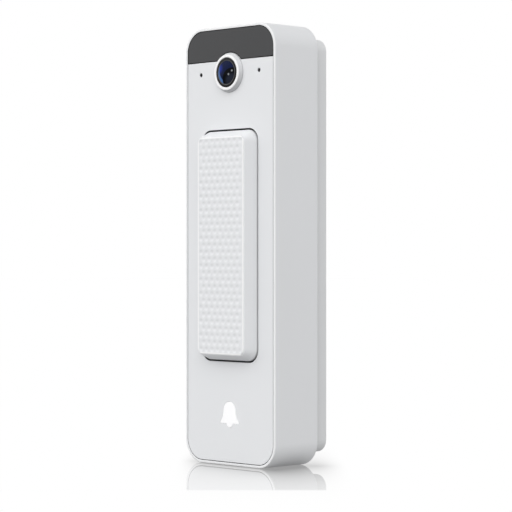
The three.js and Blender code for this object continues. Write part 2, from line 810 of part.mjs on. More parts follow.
function addBack(unit, movers) {
  piece(unit, "rear_cover", rearCover(), innerPlastic);
  piece(unit, "cover_seal", coverSeal(), rubber);
  for (const [place, x, z] of coverCorners) {
    piece(unit, `cover_screw_${place}`, coverScrew(x, z), steel);
  }
  piece(unit, "terminal_block", terminalBlock(), blackPlastic);
  piece(movers.terminalLeft, "terminal_screw_left", terminalScrew(-terminalOffset), brass);
  piece(movers.terminalRight, "terminal_screw_right", terminalScrew(terminalOffset), brass);
  const switchBack = coverFront - 1 - resetTravel - 0.1;
  const resetSwitch = box(around(resetX, 4), [mainBoardBack, switchBack], around(resetZ, 4));
  piece(unit, "reset_switch", resetSwitch, steel);
  piece(movers.reset, "reset_button", resetCap(), clearPlastic);
}

// ---------------------------------------------------------------- wall plate

const plateWidth = bodyWidth - 2 * plateInset;
const plateHeight = bodyHeight - 2 * plateInset;
const plateCorner = bodyCorner - plateInset;
const plateFront = unitBack + clearance;
const wireOpening = { width: 16, height: 18, corner: 3, z: 19 };
const wallSlotHeight = 57;

function wallPlate() {
  const over = 1;
  const tray = cut(
    slab(roundedRectangle(plateWidth, plateHeight, plateCorner), plateFront, 0),
    slab(
      roundedRectangle(plateWidth - 2 * plateWall, plateHeight - 2 * plateWall, plateCorner - plateWall),
      plateFront - over,
      trayFloor,
    ),
  );
  const bars = [hookOffset, -hookOffset].map((z) =>
    box(around(0, plateWidth - plateWall), [barFront, barBack], around(z, barHeight)),
  );
  const { width, height, corner, z: wireZ } = wireOpening;
  const wallSlots = [wallSlotHeight, -wallSlotHeight].map((z) =>
    slab(roundedRectangle(4.5, 9, 2.2, 0, z), trayFloor - over, over, smallSegments),
  );
  const screwHole = post(1.6, around(-plateHeight / 2 + plateWall / 2, plateWall + 2), 0, screwLineY);
  return cut(
    join(tray, ...bars),
    slab(roundedRectangle(width, height, corner, 0, wireZ), trayFloor - over, over, smallSegments),
    screwHole,
    ...wallSlots,
  );
}

// A rubber lip that lines the wire opening.
function wireGrommet() {
  const { width, height, corner, z } = wireOpening;
  const lip = roundedRectangle(width + 3, height + 3, corner + 1.5, 0, z);
  return cut(
    join(
      slab(roundedRectangle(width - 0.2, height - 0.2, corner, 0, z), trayFloor - 0.1, -0.2, smallSegments),
      slab(lip, trayFloor - 0.9, trayFloor, smallSegments),
    ),
    slab(roundedRectangle(width - 3, height - 3, corner - 1.3, 0, z), trayFloor - 2, 1, smallSegments),
  );
}

// The screw that locks the unit on: up through the plate's lower wall and into the rear cover's lug.
function securityScrew() {
  const headTop = -plateHeight / 2 - 0.1;
  return cut(
    join(
      post(2.3, [headTop - 2, headTop], 0, screwLineY, 20),
      post(1.25, [headTop - 0.1, lugMiddle + 4], 0, screwLineY),
    ),
    post(0.9, [headTop - 3, headTop - 0.8], 0, screwLineY, 6),
  );
}

// ---------------------------------------------------------------- assembly

function doorbell() {
  const root = new THREE.Group();
  const unit = new THREE.Group();
  const button = new THREE.Group();
  const plungers = { upper: new THREE.Group(), lower: new THREE.Group() };
  const filter = new THREE.Group();
  const cone = new THREE.Group();
  const movers = {
    terminalLeft: new THREE.Group(),
    terminalRight: new THREE.Group(),
    reset: new THREE.Group(),
  };
  unit.add(button, plungers.upper, plungers.lower, filter, cone, ...Object.values(movers));
  root.add(unit);

  piece(unit, "housing", housing(), whitePlastic);
  piece(unit, "front_panel", frontPanel(), whitePlastic);
  piece(unit, "smoked_window", smokedWindow(), smokedPlastic);
  piece(unit, "bell_icon", bellIcon(), clearPlastic);
  addCamera(unit, filter);
  addSensors(unit);
  addButton(unit, button, plungers);
  addElectronics(unit);
  addSpeaker(unit, cone);
  addBack(unit, movers);

  piece(root, "wall_plate", wallPlate(), platePlastic);
  piece(root, "wire_grommet", wireGrommet(), rubber);
  piece(root, "security_screw", securityScrew(), steel);
  return root;
}

export default doorbell();
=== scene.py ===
"""The looks of a slim video doorbell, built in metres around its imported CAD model.

The wall is the plane y = 0, the front faces -Y and +Z is up. Outlines are drawn in the front view as (x, z).
"""
import math

import bmesh
import bpy
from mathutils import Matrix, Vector
from mathutils.geometry import tessellate_polygon


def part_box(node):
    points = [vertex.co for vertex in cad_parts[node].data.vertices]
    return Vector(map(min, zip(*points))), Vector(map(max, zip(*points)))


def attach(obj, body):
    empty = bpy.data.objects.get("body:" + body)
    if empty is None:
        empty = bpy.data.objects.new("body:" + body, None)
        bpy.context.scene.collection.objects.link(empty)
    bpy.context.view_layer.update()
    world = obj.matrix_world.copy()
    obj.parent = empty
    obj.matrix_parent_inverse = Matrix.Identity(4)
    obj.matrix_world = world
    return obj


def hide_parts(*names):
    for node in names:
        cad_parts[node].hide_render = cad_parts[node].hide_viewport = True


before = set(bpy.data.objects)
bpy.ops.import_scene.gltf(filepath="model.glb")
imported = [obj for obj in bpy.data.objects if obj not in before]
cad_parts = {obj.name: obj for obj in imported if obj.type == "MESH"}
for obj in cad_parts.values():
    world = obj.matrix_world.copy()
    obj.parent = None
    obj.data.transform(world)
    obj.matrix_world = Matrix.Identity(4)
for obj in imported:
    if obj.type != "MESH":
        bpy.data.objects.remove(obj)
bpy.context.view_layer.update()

MM = 0.001

# ---------------------------------------------------------------- sizes taken from the frame

HOUSING_LOW, HOUSING_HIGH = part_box("housing")
WINDOW_LOW, WINDOW_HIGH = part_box("smoked_window")
BEZEL_LOW, BEZEL_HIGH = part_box("lens_bezel")
LENS_LOW, LENS_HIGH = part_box("front_lens")
BUTTON_LOW, BUTTON_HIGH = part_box("button_cap")
SPEAKER_LOW, SPEAKER_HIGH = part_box("speaker_frame")
MICROPHONE_LOW, MICROPHONE_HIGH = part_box("microphone_boot_right")
SEAL_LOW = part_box("cover_seal")[0]
PANEL_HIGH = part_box("front_panel")[1]
BAFFLE_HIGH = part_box("lens_baffle")[1]
TRIM_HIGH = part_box("lens_trim_ring")[1]
ICON_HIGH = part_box("bell_icon")[1]
PLATE_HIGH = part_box("wall_plate")[1]

FRONT = HOUSING_LOW.y
BACK = HOUSING_HIGH.y
FLOOR = HOUSING_LOW.z
HALF_WIDTH = HOUSING_HIGH.x
HALF_HEIGHT = HOUSING_HIGH.z
CORNER = 8 * MM
FIT = 0.1 * MM
WALL = 1.8 * MM
RIM = HALF_WIDTH - PANEL_HIGH.x - FIT
SEAM = 0.085 * MM

SLOTS = 6
SLOT_PITCH = 3 * MM
SLOT_HALF_WIDTH = 0.7 * MM
SLOT_HALF_LENGTH = 3.5 * MM

PANEL_BACK = PANEL_HIGH.y
PANEL_CORNER = CORNER - RIM - FIT
PANEL_EDGE = 0.16 * MM
WINDOW_BACK = WINDOW_HIGH.y
WINDOW_BOTTOM = WINDOW_LOW.z
WINDOW_GAP = 0.08 * MM
LEDGE_OVERLAP = 2 * MM
LAMP_OFFSET = 9 * MM
LAMP_HEIGHT = 66.96 * MM
LAMP_HOLE = 2.2 * MM
LIGHT_SENSOR_HEIGHT = 67.5 * MM
LIGHT_SENSOR_HOLE = 1.4 * MM

BEZEL_RADIUS = BEZEL_HIGH.x
BEZEL_FRONT_RADIUS = 5.75 * MM
BEZEL_STEP = 1.1 * MM
BEZEL_FRONT = BEZEL_LOW.y
LENS_RADIUS = LENS_HIGH.x
LENS_HEIGHT = (BEZEL_LOW.z + BEZEL_HIGH.z) / 2
LENS_AXIS = (0, LENS_HEIGHT)
DOME_EDGE = BEZEL_FRONT + 0.05 * MM
RING_FIT = 0.05 * MM
SOUND_HOLE = 0.65 * MM
SOUND_HOLE_OFFSET = (MICROPHONE_LOW.x + MICROPHONE_HIGH.x) / 2

ICON_HEIGHT = -55.4 * MM
ICON_SCALE = 1.12 * MM
ICON_HOLE_SCALE = 1.012 * ICON_SCALE
ICON_POST = 2.3 * MM

BUTTON_LIP = 1.3 * MM
BUTTON_HALF_WIDTH = BUTTON_HIGH.x - BUTTON_LIP
BUTTON_HALF_HEIGHT = BUTTON_HIGH.z - BUTTON_LIP
BUTTON_CORNER = 3.8 * MM
BUTTON_EDGE = 0.28 * MM
BUTTON_FACE_THICKNESS = 1.5 * MM
GAP = 0.55 * MM
BUTTON_LEAN = 1.9 * MM
BUTTON_WALL = 1.2 * MM
FACE_RIM = 0.75 * MM
DIMPLE_PITCH = 2.69 * MM
DIMPLE_ROW = 2.285 * MM
DIMPLE_ROWS = 31
DIMPLE_RADIUS = 1.02 * MM
DIMPLE_DEPTH = 0.17 * MM
FIELD_FADE = 0.3 * MM
FIELD_HALF_WIDTH = BUTTON_HALF_WIDTH - BUTTON_LEAN - FACE_RIM
FIELD_HALF_HEIGHT = BUTTON_HALF_HEIGHT - BUTTON_LEAN - FACE_RIM
FIELD_CORNER = BUTTON_CORNER - BUTTON_LEAN - FACE_RIM + FIELD_FADE
FIELD_GRAIN = 0.23 * MM
FIELD_CORNER_STEPS = 8

ROUND_SIDES = 96
HOLE_SIDES = 32
DOME_STEPS = 24
CORNER_STEPS = 16
EDGE_STEPS = 4
AXIS_HOLE = 0.01 * MM


# ---------------------------------------------------------------- outlines

def arc(centre, radius, start, end, steps):
    """Points on a circle from one angle to another, in degrees, both ends included."""
    points = []
    for i in range(steps + 1):
        angle = math.radians(start + (end - start) * i / steps)
        points.append((centre[0] + radius * math.cos(angle), centre[1] + radius * math.sin(angle)))
    return points


def rounded_rectangle(half_width, half_height, radius, steps=CORNER_STEPS, centre=(0, 0)):
    """An anticlockwise outline with round corners, seen from the front."""
    x, z = half_width - radius, half_height - radius
    corners = [(x, z), (-x, z), (-x, -z), (x, -z)]
    points = []
    for quarter, (cx, cz) in enumerate(corners):
        middle = (centre[0] + cx, centre[1] + cz)
        points += arc(middle, radius, 90 * quarter, 90 * (quarter + 1), steps)
    return points


def circle(centre, radius, steps=48):
    return arc(centre, radius, 0, 360, steps)[:-1]


def bezier(start, control, end, steps):
    """A quadratic curve's points, without its start."""
    points = []
    for i in range(1, steps + 1):
        t = i / steps
        points.append(tuple(
            (1 - t) ** 2 * a + 2 * t * (1 - t) * b + t ** 2 * c for a, b, c in zip(start, control, end)
        ))
    return points


def bell_outline(scale):
    """A plain bell: a dome that flares into a lip, with half of the clapper showing under it."""
    dome, lip, clapper = 2.6 * scale, 3.9 * scale, 1.2 * scale
    shoulder, waist = ICON_HEIGHT + 0.9 * scale, ICON_HEIGHT - 1.4 * scale
    lip_top, lip_bottom = ICON_HEIGHT - 2.3 * scale, ICON_HEIGHT - 2.9 * scale
    right = [(lip, lip_bottom), (lip, lip_top)]
    right += bezier((lip, lip_top), (dome, waist), (dome, shoulder), 10)
    top = arc((0, shoulder), dome, 0, 180, 24)[1:-1]
    left = [(-x, z) for x, z in reversed(right)]
    bottom = arc((0, lip_bottom), clapper, 180, 360, 14)
    return right + top + left + bottom


def inset(points, distance):
    """The outline moved sideways into the material on its left, by the mean of its edges' normals."""
    count = len(points)
    moved = []
    for i, (x, z) in enumerate(points):
        before, after = points[i - 1], points[(i + 1) % count]
        first = Vector((x - before[0], z - before[1])).normalized()
        second = Vector((after[0] - x, after[1] - z)).normalized()
        normal = Vector((-first.y - second.y, first.x + second.x))
        normal = normal.normalized()
        slant = max(0.5, normal.dot(Vector((-first.y, first.x))))
        moved.append((x + normal.x * distance / slant, z + normal.y * distance / slant))
    return moved


def softened(profile):
    """A profile of (a, b, radius) corners as (a, b) points, each corner rounded by its own radius."""
    points = []
    count = len(profile)
    for i, (a, b, radius) in enumerate(profile):
        here = Vector((a, b))
        if radius == 0:
            points.append((a, b))
            continue
        back = Vector(profile[i - 1][:2]) - here
        on = Vector(profile[(i + 1) % count][:2]) - here
        half = back.angle(on) / 2
        reach = min(radius / math.tan(half), back.length * 0.49, on.length * 0.49)
        size = reach * math.tan(half)
        start, end = here + back.normalized() * reach, here + on.normalized() * reach
        middle = here + (back.normalized() + on.normalized()).normalized() * (size / math.sin(half))
        for j in range(EDGE_STEPS + 1):
            outward = start.lerp(end, j / EDGE_STEPS) - middle
            points.append(tuple(middle + outward.normalized() * size))
    return points


# ---------------------------------------------------------------- meshes

def finish_mesh(name, mesh_builder, sharp_angle=40):
    """A smooth-shaded object from a bmesh, with its faces turned out and its sharp edges marked."""
    bmesh.ops.remove_doubles(mesh_builder, verts=mesh_builder.verts, dist=1e-7)
    bmesh.ops.recalc_face_normals(mesh_builder, faces=mesh_builder.faces)
    for edge in mesh_builder.edges:
        sharp = edge.is_manifold and edge.calc_face_angle(0) > math.radians(sharp_angle)
        edge.smooth = not sharp
    for face in mesh_builder.faces:
        face.smooth = True
    mesh = bpy.data.meshes.new(name)
    mesh_builder.to_mesh(mesh)
    mesh_builder.free()
    made = bpy.data.objects.new(name, mesh)
    bpy.context.scene.collection.objects.link(made)
    return made


def ring_of(mesh_builder, outline, y):
    return [mesh_builder.verts.new((x, y, z)) for x, z in outline]


def bridge(mesh_builder, first, second):
    count = len(first)
    for i in range(count):
        j = (i + 1) % count
        mesh_builder.faces.new((first[i], first[j], second[j], second[i]))


def fill(mesh_builder, loops):
    """Flat faces between an outer loop of vertices and the holes in it."""
    flat = [vert for loop in loops for vert in loop]
    for triangle in tessellate_polygon([[Vector((v.co.x, v.co.z, 0)) for v in loop] for loop in loops]):
        mesh_builder.faces.new([flat[i] for i in triangle])


def slab(name, outline, holes, front, back, front_edge, back_edge=0.08 * MM):
    """A flat plate with holes whose front and back edges are rounded."""
    mesh_builder = bmesh.new()
    loops = [outline] + [list(reversed(hole)) for hole in holes]
    front_loops, back_loops = [], []
    for loop in loops:
        rings = []
        for i in range(EDGE_STEPS + 1):
            turn = math.radians(90 * i / EDGE_STEPS)
            rings.append(ring_of(
                mesh_builder,
                inset(loop, front_edge * (1 - math.sin(turn))),
                front + front_edge * (1 - math.cos(turn)),
            ))
        for i in range(EDGE_STEPS + 1):
            turn = math.radians(90 * i / EDGE_STEPS)
            rings.append(ring_of(
                mesh_builder,
                inset(loop, back_edge * (1 - math.cos(turn))),
                back - back_edge * (1 - math.sin(turn)),
            ))
        for first, second in zip(rings, rings[1:]):
            bridge(mesh_builder, first, second)
        front_loops.append(rings[0])
        back_loops.append(rings[-1])
    fill(mesh_builder, front_loops)
    fill(mesh_builder, back_loops)
    return finish_mesh(name, mesh_builder)


def sweep(name, profile, half_width, half_height, radius):
    """A closed profile of (inset, y) swept around a rounded rectangle."""
    mesh_builder = bmesh.new()
    rings = []
    for depth, y in profile:
        outline = rounded_rectangle(half_width - depth, half_height - depth, max(radius - depth, 0.2 * MM))
        rings.append(ring_of(mesh_builder, outline, y))
    for first, second in zip(rings, rings[1:]):
        bridge(mesh_builder, first, second)
    bridge(mesh_builder, rings[-1], rings[0])
    return finish_mesh(name, mesh_builder)


def turned(name, profile, centre, closed=True, sides=ROUND_SIDES):
    """A profile of (radius, y) turned about an axis along Y. An open one starts and ends on the axis."""
    mesh_builder = bmesh.new()
    rings = []
    for radius, y in profile:
        rings.append(ring_of(mesh_builder, circle(centre, max(radius, AXIS_HOLE), sides), y))
    for first, second in zip(rings, rings[1:]):
        bridge(mesh_builder, first, second)
    if closed:
        bridge(mesh_builder, rings[-1], rings[0])
    else:
        mesh_builder.faces.new(rings[0])
        mesh_builder.faces.new(rings[-1])
    return finish_mesh(name, mesh_builder)


def combine(target, others, operation):
    """Joins solids to the target or cuts them out of it, and removes them."""
    for other in others:
        modifier = target.modifiers.new(operation.lower(), "BOOLEAN")
        modifier.operation = operation
        modifier.solver = "EXACT"
        modifier.object = other
        evaluated = target.evaluated_get(bpy.context.evaluated_depsgraph_get())
        mesh = bpy.data.meshes.new_from_object(evaluated)
        target.modifiers.clear()
        target.data = mesh
        bpy.data.objects.remove(other)


def even_shading(made):
    """Keeps flat faces flat where they meet rounded edges."""
    modifier = made.modifiers.new("even_shading", "WEIGHTED_NORMAL")
    modifier.keep_sharp = True
    modifier.weight = 80


def place(made, body, look, slot, *replaced):
    """Gives a piece its material and the body it rides on, and hides the CAD nodes it stands for; its slot
    is not used.
    """
    made.data.materials.clear()
    made.data.materials.append(look)
    even_shading(made)
    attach(made, body)
    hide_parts(*replaced)


# ---------------------------------------------------------------- materials

def new_material(name):
    """A material with nodes, its shader and its mapping of the object's own coordinates."""
    made = bpy.data.materials.new(name)
    made.use_nodes = True
    shader = made.node_tree.nodes["Principled BSDF"]
    place_of = made.node_tree.nodes.new("ShaderNodeTexCoord")
    return made, shader, place_of.outputs["Object"]


def noise(material, place_of, size):
    """Noise with features of the given size."""
    node = material.node_tree.nodes.new("ShaderNodeTexNoise")
    node.inputs["Scale"].default_value = 1 / size
    node.inputs["Detail"].default_value = 2.0
    material.node_tree.links.new(place_of, node.inputs["Vector"])
    return node.outputs["Fac"]


def spread(material, value, low, high):
    """Noise, which mostly lies between 0.3 and 0.7, mapped onto a range."""
    node = material.node_tree.nodes.new("ShaderNodeMapRange")
    node.inputs["From Min"].default_value = 0.3
    node.inputs["From Max"].default_value = 0.7
    node.inputs["To Min"].default_value = low
    node.inputs["To Max"].default_value = high
    material.node_tree.links.new(value, node.inputs["Value"])
    return node.outputs["Result"]


def mixed(material, factor, first, second):
    node = material.node_tree.nodes.new("ShaderNodeMix")
    node.data_type = "RGBA"
    node.inputs["A"].default_value = (*first, 1)
    node.inputs["B"].default_value = (*second, 1)
    material.node_tree.links.new(factor, node.inputs["Factor"])
    return node.outputs["Result"]


def bumped(material, shader, height, depth, strength=1.0):
    node = material.node_tree.nodes.new("ShaderNodeBump")
    node.inputs["Distance"].default_value = depth
    node.inputs["Strength"].default_value = strength
    material.node_tree.links.new(height, node.inputs["Height"])
    material.node_tree.links.new(node.outputs["Normal"], shader.inputs["Normal"])


def shaded(colour, change):
    return tuple(min(1.0, channel * (1 + change)) for channel in colour)


def calculated(material, operation, first, second=0.0):
    """A math node's result from numbers or other nodes' outputs."""
    node = material.node_tree.nodes.new("ShaderNodeMath")
    node.operation = operation
    for socket, value in zip(node.inputs, (first, second)):
        if isinstance(value, (int, float)):
            socket.default_value = value
        else:
            material.node_tree.links.new(value, socket)
    return node.outputs["Value"]


def ramped(material, value, start, end):
    """0 before the start and 1 after the end, with a smooth change between them."""
    node = material.node_tree.nodes.new("ShaderNodeMapRange")
    node.interpolation_type = "SMOOTHSTEP"
    node.inputs["From Min"].default_value = start
    node.inputs["From Max"].default_value = end
    material.node_tree.links.new(value, node.inputs["Value"])
    return node.outputs["Result"]


def along(material, place_of, axis):
    """The position along one of the object's own axes."""
    node = material.node_tree.nodes.new("ShaderNodeSeparateXYZ")
    material.node_tree.links.new(place_of, node.inputs["Vector"])
    return node.outputs[axis]


def dotted(material, place_of, direction):
    """How far a place lies along a direction."""
    node = material.node_tree.nodes.new("ShaderNodeVectorMath")
    node.operation = "DOT_PRODUCT"
    node.inputs[1].default_value = direction
    material.node_tree.links.new(place_of, node.inputs[0])
    return node.outputs["Value"]


def distance_outside(material, place_of, spans):
    """How far a place lies outside a rectangle. Each span is an axis, a middle and a half size."""
    squares = []
    for axis, middle, half_size in spans:
        offset = calculated(material, "SUBTRACT", along(material, place_of, axis), middle)
        past = calculated(material, "SUBTRACT", calculated(material, "ABSOLUTE", offset), half_size)
        past = calculated(material, "MAXIMUM", past)
        squares.append(calculated(material, "MULTIPLY", past, past))
    return calculated(material, "SQRT", calculated(material, "ADD", *squares))


def tinted(material, factor, colour):
    """Lays another colour over the material's own where the factor is 1."""
    nodes, links = material.node_tree.nodes, material.node_tree.links
    base = nodes["Principled BSDF"].inputs["Base Color"]
    node = nodes.new("ShaderNodeMix")
    node.data_type = "RGBA"
    links.new(base.links[0].from_socket, node.inputs["A"])
    node.inputs["B"].default_value = (*colour, 1)
    links.new(factor, node.inputs["Factor"])
    links.new(node.outputs["Result"], base)


def object_place(material):
    """The object's own coordinates, from the material's coordinate node."""
    return material.node_tree.nodes["Texture Coordinate"].outputs["Object"]


def moulded(name, colour, roughness, grain=0.25 * MM, depth=0.004 * MM, shine=0.5):
    """Moulded plastic: a spark-eroded grain, and a little drift in colour and gloss over the part."""
    material, shader, place_of = new_material(name)
    shader.inputs["Specular IOR Level"].default_value = shine
    drift = noise(material, place_of, 30 * MM)
    colours = mixed(material, drift, shaded(colour, -0.012), shaded(colour, 0.012))
    material.node_tree.links.new(colours, shader.inputs["Base Color"])
    gloss = spread(material, noise(material, place_of, 6 * MM), roughness - 0.03, roughness + 0.03)
    material.node_tree.links.new(gloss, shader.inputs["Roughness"])
    bumped(material, shader, noise(material, place_of, grain), depth)
    return material


def metal(name, colour, roughness, brushed=True):
    """Plated metal, with fine lines along Z where it is brushed and an even grain where it isn't."""
    material, shader, place_of = new_material(name)
    shader.inputs["Metallic"].default_value = 1.0
    stretch = material.node_tree.nodes.new("ShaderNodeMapping")
    stretch.inputs["Scale"].default_value = (1, 1, 0.05) if brushed else (1, 1, 1)
    material.node_tree.links.new(place_of, stretch.inputs["Vector"])
    lines = noise(material, stretch.outputs["Vector"], 0.3 * MM)
    colours = mixed(material, lines, shaded(colour, -0.08), shaded(colour, 0.08))
    material.node_tree.links.new(colours, shader.inputs["Base Color"])
    gloss = spread(material, lines, roughness - 0.06, roughness + 0.06)
    material.node_tree.links.new(gloss, shader.inputs["Roughness"])
    bumped(material, shader, lines, 0.004 * MM)
    return material


def circuit_board():
    """Green solder mask over a grid of tracks."""
    material, shader, place_of = new_material("circuit_board")
    tracks = material.node_tree.nodes.new("ShaderNodeTexBrick")
    tracks.inputs["Scale"].default_value = 1 / (6 * MM)
    tracks.inputs["Mortar Size"].default_value = 0.02
    tracks.inputs["Color1"].default_value = (0.012, 0.07, 0.035, 1)
    tracks.inputs["Color2"].default_value = (0.014, 0.085, 0.04, 1)
    tracks.inputs["Mortar"].default_value = (0.02, 0.13, 0.06, 1)
    swap = material.node_tree.nodes.new("ShaderNodeMapping")
    swap.inputs["Rotation"].default_value = (math.radians(-90), 0, 0)
    material.node_tree.links.new(place_of, swap.inputs["Vector"])
    material.node_tree.links.new(swap.outputs["Vector"], tracks.inputs["Vector"])
    material.node_tree.links.new(tracks.outputs["Color"], shader.inputs["Base Color"])
    shader.inputs["Roughness"].default_value = 0.35
    bumped(material, shader, tracks.outputs["Fac"], 0.02 * MM, 0.5)
    return material


def smoked_plastic():
    """Dark glossy plastic: a deep even grey under a polished face, with the faintest flow marks."""
    material, shader, place_of = new_material("smoked_plastic")
    drift = noise(material, place_of, 14 * MM)
    colours = mixed(material, drift, (0.0122, 0.0130, 0.0152), (0.0138, 0.0146, 0.0168))
    material.node_tree.links.new(colours, shader.inputs["Base Color"])
    gloss = spread(material, noise(material, place_of, 5 * MM), 0.16, 0.2)
    material.node_tree.links.new(gloss, shader.inputs["Roughness"])
    shader.inputs["IOR"].default_value = 1.5
    bumped(material, shader, noise(material, place_of, 8 * MM), 0.002 * MM)
    return material


def lens_painted_reflections():
    """The dome's deep blue coating, painted with its reflections: a bright crescent on the left, a dark
    pupil and two soft painted highlights as glints.
    """
    material, shader, place_of = new_material("lens_painted_reflections")

    def distance_from(x, z):
        """The distance from a point of the dome, in lens radii, seen from the front."""
        across = calculated(material, "SUBTRACT", along(material, place_of, "X"), x * LENS_RADIUS)
        up = calculated(material, "SUBTRACT", along(material, place_of, "Z"), LENS_HEIGHT + z * LENS_RADIUS)
        squares = [calculated(material, "MULTIPLY", value, value) for value in (across, up)]
        root = calculated(material, "SQRT", calculated(material, "ADD", *squares))
        return calculated(material, "DIVIDE", root, LENS_RADIUS)

    # The coating's painted reflections: a violet-blue bloom, a light-blue crescent and a near-black lower
    # right.
    bloom = ramped(material, distance_from(-0.75, 0.35), 0.6, 0.05)
    colours = mixed(material, bloom, (0.007, 0.012, 0.046), (0.018, 0.032, 0.24))
    material.node_tree.links.new(colours, shader.inputs["Base Color"])
    tinted(material, ramped(material, distance_from(0.4, 0.3), 1.12, 1.32), (0.075, 0.16, 0.37))
    tinted(material, ramped(material, distance_from(0.8, -0.8), 1.22, 1.14), (0.003, 0.0035, 0.005))
    tinted(material, ramped(material, distance_from(0.75, -0.9), 1.0, 0.5), (0.02, 0.024, 0.038))
    # Two painted highlights, the glints of softboxes on the glass.
    for x, z in ((0.77, 0.12), (0.42, -0.18)):
        tinted(material, ramped(material, distance_from(x, z), 0.13, 0.02), (0.30, 0.32, 0.34))
    shader.inputs["Roughness"].default_value = 0.08
    shader.inputs["Specular IOR Level"].default_value = 0.03
    return material


def glass(name, colour):
    material, shader, place_of = new_material(name)
    drift = noise(material, place_of, 4 * MM)
    colours = mixed(material, drift, shaded(colour, -0.05), shaded(colour, 0.05))
    material.node_tree.links.new(colours, shader.inputs["Base Color"])
    shader.inputs["Roughness"].default_value = 0.04
    shader.inputs["Transmission Weight"].default_value = 0.6
    return material


WHITE_COLOUR = (0.79, 0.80, 0.816)
WHITE = moulded("white_plastic", WHITE_COLOUR, 0.42, shine=0.25)
SHELL_WHITE = moulded("shell_plastic", WHITE_COLOUR, 0.42, shine=0.25)
BUTTON_WHITE = moulded("button_plastic", WHITE_COLOUR, 0.38, shine=0.25)
RING_WHITE = moulded("ring_plastic", (0.75, 0.76, 0.775), 0.35, shine=0.3)
PLATE_WHITE = moulded("plate_plastic", (0.765, 0.775, 0.785), 0.45, shine=0.25)
ICON_WHITE = moulded("icon_white", (0.95, 0.95, 0.96), 0.3, depth=0.001 * MM)
DARK = moulded("dark_plastic", (0.09, 0.092, 0.098), 0.5, grain=0.35 * MM, depth=0.01 * MM)
BLACK = moulded("black_plastic", (0.012, 0.012, 0.013), 0.5, shine=0.2)
CLEAR = moulded("clear_plastic", (0.85, 0.86, 0.88), 0.2)
RUBBER = moulded("rubber", (0.025, 0.025, 0.027), 0.75, grain=0.4 * MM, depth=0.01 * MM)
RESIN = moulded("chip_resin", (0.02, 0.02, 0.022), 0.45)
PAPER = moulded("speaker_paper", (0.05, 0.045, 0.04), 0.85, grain=0.5 * MM, depth=0.02 * MM)
STEEL = metal("steel", (0.6, 0.61, 0.63), 0.3)
TRIM = metal("trim_metal", (0.09, 0.092, 0.096), 0.4, brushed=False)
BRASS = metal("brass", (0.72, 0.5, 0.22), 0.3)
COPPER = metal("copper_film", (0.72, 0.4, 0.2), 0.4)
BOARD = circuit_board()
SMOKED = smoked_plastic()
LENS = lens_painted_reflections()
FILTER = glass("filter_glass", (0.5, 0.8, 0.85))
REAR_GLASS = glass("rear_glass", (0.6, 0.7, 0.9))


# ---------------------------------------------------------------- painted highlights and painted shade on the white pieces

# Painted highlight and painted shade colours, laid over the white pieces' own colour.
PAINTED_EDGE_HIGHLIGHT = (0.86, 0.865, 0.875)
PAINTED_FACE_HIGHLIGHT = (0.96, 0.96, 0.965)
PAINTED_LOWER_SHADE = (0.52, 0.525, 0.54)
PAINTED_FOOT_SHADOW = (0.3, 0.305, 0.315)
PAINTED_SEAM_SHADE = (0.42, 0.425, 0.435)
SHADED = (0.02, 0.02, 0.021)


def depth_in(material):
    return along(material, object_place(material), "Y")


def height_on(material):
    return along(material, object_place(material), "Z")


def tint_shell():
    """A painted highlight on the shell's front edge, and painted shade on its inner wall in the seam,
    darkest beside the window.
    """
    depth = depth_in(SHELL_WHITE)
    tinted(SHELL_WHITE, ramped(SHELL_WHITE, depth, FRONT + 0.45 * MM, FRONT + 0.3 * MM), PAINTED_EDGE_HIGHLIGHT)
    spans = (("X", 0, HALF_WIDTH - CORNER), ("Z", 0, HALF_HEIGHT - CORNER))
    reach = distance_outside(SHELL_WHITE, object_place(SHELL_WHITE), spans)
    inner_wall = ramped(SHELL_WHITE, reach, CORNER - RIM + 0.08 * MM, CORNER - RIM + 0.01 * MM)
    tinted(SHELL_WHITE, inner_wall, PAINTED_SEAM_SHADE)
    beside_window = ramped(SHELL_WHITE, height_on(SHELL_WHITE), WINDOW_BOTTOM - 0.1 * MM, WINDOW_BOTTOM)
    tinted(SHELL_WHITE, calculated(SHELL_WHITE, "MULTIPLY", inner_wall, beside_window), SHADED)


def tint_ring():
    """Painted shade on the ring's cone, darker downwards, a painted shadow at its foot, and a painted
    highlight on its face.
    """
    height, depth = height_on(RING_WHITE), depth_in(RING_WHITE)
    tinted(RING_WHITE, ramped(RING_WHITE, height, BEZEL_HIGH.z, BEZEL_LOW.z), PAINTED_LOWER_SHADE)
    tinted(RING_WHITE, ramped(RING_WHITE, depth, FRONT - 0.3 * MM, FRONT), PAINTED_FOOT_SHADOW)
    tinted(RING_WHITE, ramped(RING_WHITE, depth, BEZEL_FRONT + 0.25 * MM, BEZEL_FRONT + 0.1 * MM), PAINTED_FACE_HIGHLIGHT)


def tint_button():
    """Painted shade on the cap inside the opening, and a painted highlight on the smooth border round its
    field.
    """
    depth = depth_in(BUTTON_WHITE)
    tinted(BUTTON_WHITE, ramped(BUTTON_WHITE, depth, FRONT + 0.7 * MM, FRONT + 1.2 * MM), SHADED)
    place_of = object_place(BUTTON_WHITE)
    past = []
    for axis, reach in (("X", FIELD_HALF_WIDTH), ("Z", FIELD_HALF_HEIGHT)):
        distance = calculated(BUTTON_WHITE, "ABSOLUTE", along(BUTTON_WHITE, place_of, axis))
        past.append(ramped(BUTTON_WHITE, distance, reach, reach + 0.2 * MM))
    outside = calculated(BUTTON_WHITE, "MAXIMUM", *past)
    front = ramped(BUTTON_WHITE, depth, BUTTON_LOW.y + 0.35 * MM, BUTTON_LOW.y + 0.15 * MM)
    tinted(BUTTON_WHITE, calculated(BUTTON_WHITE, "MULTIPLY", outside, front), PAINTED_FACE_HIGHLIGHT)


def tint_panel():
    """Painted shade on the panel inside its seams and holes."""
    tinted(WHITE, ramped(WHITE, depth_in(WHITE), FRONT + 0.15 * MM, FRONT + 0.35 * MM), SHADED)


